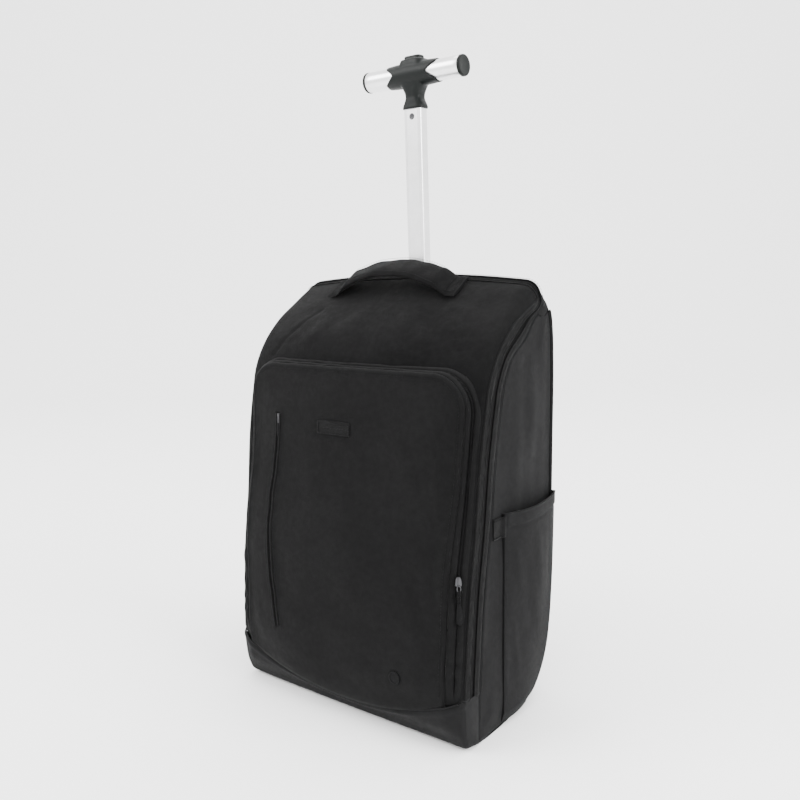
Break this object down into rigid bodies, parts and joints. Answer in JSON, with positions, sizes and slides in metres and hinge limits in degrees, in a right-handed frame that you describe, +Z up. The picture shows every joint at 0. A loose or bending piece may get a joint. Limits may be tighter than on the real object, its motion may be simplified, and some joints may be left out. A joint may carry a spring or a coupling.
{
  "type": "wheeled backpack",
  "caption": "Upright wheeled backpack in grey cloth with a front pocket, open side pockets, a carry handle, shoulder straps and a T-shaped pull handle on a sliding pole.",
  "frame": {"origin": "Middle of the footprint, on the floor under the bag", "axes": "+Z up, front pocket towards -Y, +X to the right of a person who faces the front pocket"},
  "size_m": [0.3576, 0.2064, 0.732],
  "materials": {
    "shell_cloth": "dull woven",
    "gusset_cloth": "dull woven",
    "side_cloth": "dull woven",
    "base_cloth": "dull coated",
    "zip_tape": "coil zip",
    "webbing": "ribbed webbing",
    "trim": "satin",
    "black_plastic": "satin",
    "dark_metal": "dark nickel",
    "aluminium": "satin anodised",
    "tread": "matt"
  },
  "bodies": {
    "bag": {"front_top_panel": "shell_cloth", "main_zip": "zip_tape", "rear_gusset": "gusset_cloth", "back_panel": "shell_cloth", "front_gusset_right": "gusset_cloth", "side_panel_right": "side_cloth", "front_gusset_left": "gusset_cloth", "side_panel_left": "side_cloth", "base_panel": "base_cloth", "front_pocket_panel": "shell_cloth", "front_pocket_gusset": "gusset_cloth", "front_pocket_zip": "zip_tape", "front_pocket_fold_right": "gusset_cloth", "front_pocket_fold_left": "gusset_cloth", "label_patch": "trim", "round_badge": "trim", "welt_zip": "zip_tape", "welt_zip_pull": "dark_metal", "front_pocket_slider": "dark_metal", "front_pocket_puller": "trim", "side_pocket_right": "side_cloth", "side_pocket_tab_right": "webbing", "side_pocket_left": "side_cloth", "side_pocket_tab_left": "webbing", "carry_handle": "webbing", "pole_sleeve": "black_plastic", "pole_bezel": "black_plastic", "strap_pad_right": "shell_cloth", "strap_buckle_right": "black_plastic", "strap_webbing_right": "webbing", "strap_pad_left": "shell_cloth", "strap_buckle_left": "black_plastic", "strap_webbing_left": "webbing", "wheel_housing_right": "black_plastic", "wheel_housing_left": "black_plastic"},
    "handle": {"pole": "aluminium", "pole_screw": "dark_metal", "bar_hub": "black_plastic", "grip_right": "aluminium", "grip_left": "aluminium", "grip_cap_right": "black_plastic", "grip_cap_left": "black_plastic"},
    "button": {"release_button": "black_plastic"},
    "wheel_right": {"wheel_tyre_right": "tread", "wheel_hub_right": "black_plastic"},
    "wheel_left": {"wheel_tyre_left": "tread", "wheel_hub_left": "black_plastic"}
  },
  "joints": [
    {"name": "handle_slide", "type": "slide", "parent": "bag", "child": "handle", "axis": [0, 0, 1], "range_m": [-0.1841, 0]},
    {"name": "button_press", "type": "slide", "parent": "handle", "child": "button", "axis": [0, 0, 1], "range_m": [-0.003, 0], "stiffness_N_per_m": 400},
    {"name": "wheel_right_spin", "type": "hinge", "parent": "bag", "child": "wheel_right", "pos_m": [0.118, 0.05875, 0.03062], "axis": [1, 0, 0], "continuous": true},
    {"name": "wheel_left_spin", "type": "hinge", "parent": "bag", "child": "wheel_left", "pos_m": [-0.118, 0.05875, 0.03062], "axis": [1, 0, 0], "continuous": true}
  ]
}
